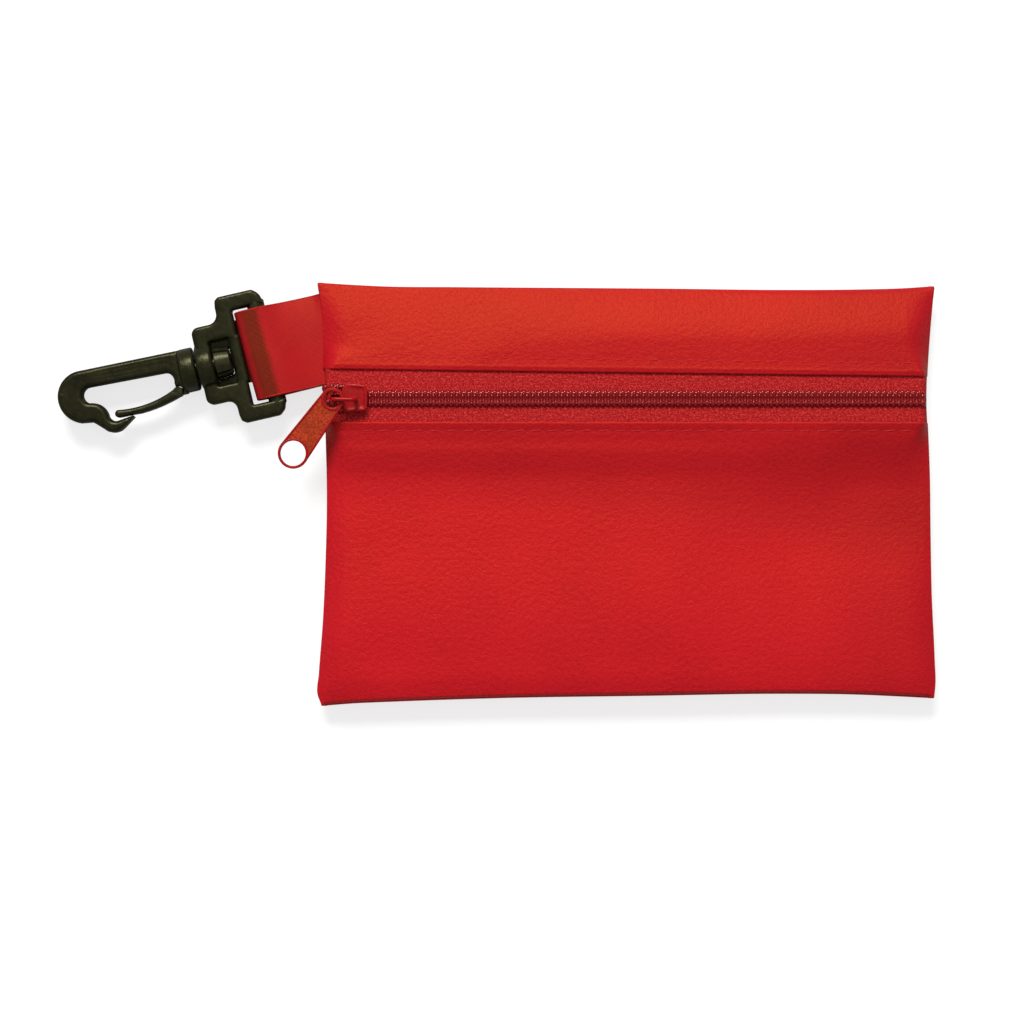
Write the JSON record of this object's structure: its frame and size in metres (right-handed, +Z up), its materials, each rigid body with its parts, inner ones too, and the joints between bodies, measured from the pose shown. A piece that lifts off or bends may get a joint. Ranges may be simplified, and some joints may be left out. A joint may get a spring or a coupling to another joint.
{
  "type": "first aid kit",
  "caption": "Soft rectangular zip pouch holding first aid packets, with a swivel snap hook on a sewn ribbon loop to clip it to a bag",
  "frame": {"origin": "centre of the pouch's flat back face", "axes": "+X along the zip from the ribbon loop's end to the far end, +Y across the zip towards the upper fold, +Z up out of the front of the pouch lying on its back"},
  "size_m": [0.2183, 0.1026, 0.0156],
  "materials": {
    "red_cloth": "matt woven nylon",
    "zip_tape": "matt herringbone tape",
    "zip_coil": "semi-gloss nylon monofilament",
    "sewing_thread": "polyester thread",
    "red_enamel": "semi-gloss enamel",
    "orange_enamel": "worn semi-gloss enamel",
    "red_ribbon": "smooth twill ribbon",
    "black_plastic": "moulded acetal, satin",
    "bandage_wrapper": "matt wrapper",
    "wipe_sachet": "satin sachet",
    "gauze_wrapper": "matt wrapper",
    "ointment_sachet": "satin foil laminate"
  },
  "bodies": {
    "pouch": {"back_panel": "red_cloth", "front_lower_panel": "red_cloth", "left_seam_allowance": "red_cloth", "lower_coil": "zip_coil", "lower_hem_stitching": "sewing_thread", "lower_zip_tape": "zip_tape", "right_seam_allowance": "red_cloth", "antiseptic_wipe_1": "wipe_sachet", "antiseptic_wipe_2": "wipe_sachet", "antiseptic_wipe_3": "wipe_sachet", "antiseptic_wipe_4": "wipe_sachet", "bandage_1": "bandage_wrapper", "bandage_2": "bandage_wrapper", "bandage_3": "bandage_wrapper", "bandage_4": "bandage_wrapper", "bandage_5": "bandage_wrapper", "gauze_pad_1": "gauze_wrapper", "gauze_pad_2": "gauze_wrapper", "ointment_sachet_1": "ointment_sachet", "ointment_sachet_2": "ointment_sachet"},
    "mouth_flap": {"front_upper_panel": "red_cloth", "upper_zip_tape": "zip_tape", "upper_coil": "zip_coil", "upper_hem_stitching": "sewing_thread"},
    "slider": {"zip_slider": "red_enamel"},
    "tab": {"pull_tab": "orange_enamel"},
    "ribbon": {"strap_loop": "red_ribbon"},
    "clip_base": {"swivel_base": "black_plastic"},
    "hook": {"snap_hook": "black_plastic"},
    "gate": {"hook_gate": "black_plastic"}
  },
  "joints": [
    {"name": "zip_travel", "type": "slide", "parent": "pouch", "child": "slider", "axis": [1, 0, 0], "range_m": [0, 0.1355], "deforming": ["upper_zip_tape", "upper_coil", "lower_coil"]},
    {"name": "mouth_opening", "type": "hinge", "parent": "pouch", "child": "mouth_flap", "pos_m": [0, 0.0507, 0.0058], "axis": [-1, 0, 0], "range_deg": [0, 45]},
    {"name": "tab_lift", "type": "hinge", "parent": "slider", "child": "tab", "pos_m": [-0.073, 0.0228, 0.01382], "axis": [-0.808, 0.5892, 0], "range_deg": [0, 45]},
    {"name": "ribbon_flex", "type": "hinge", "parent": "pouch", "child": "ribbon", "pos_m": [-0.0766, 0.038, 0.0055], "axis": [0, 1, 0], "range_deg": [-45, 45]},
    {"name": "clip_tilt", "type": "hinge", "parent": "ribbon", "child": "clip_base", "pos_m": [-0.08994, 0.03486, 0.0055], "axis": [-0.225, 0.9744, 0], "range_deg": [-75, 45]},
    {"name": "hook_swivel", "type": "hinge", "parent": "clip_base", "child": "hook", "pos_m": [-0.11683, 0.02865, 0.0055], "axis": [-0.9744, -0.225, 0], "continuous": true},
    {"name": "gate_opening", "type": "hinge", "parent": "hook", "child": "gate", "pos_m": [-0.11178, 0.02499, 0.0055], "axis": [0, 0, -1], "range_deg": [0, 20], "stiffness_Nm_per_rad": 0.05, "springref_deg": -5.73}
  ],
  "couplings": [
    {"joint": "mouth_opening", "follows": "zip_travel", "rad_per_m": 5.79}
  ]
}
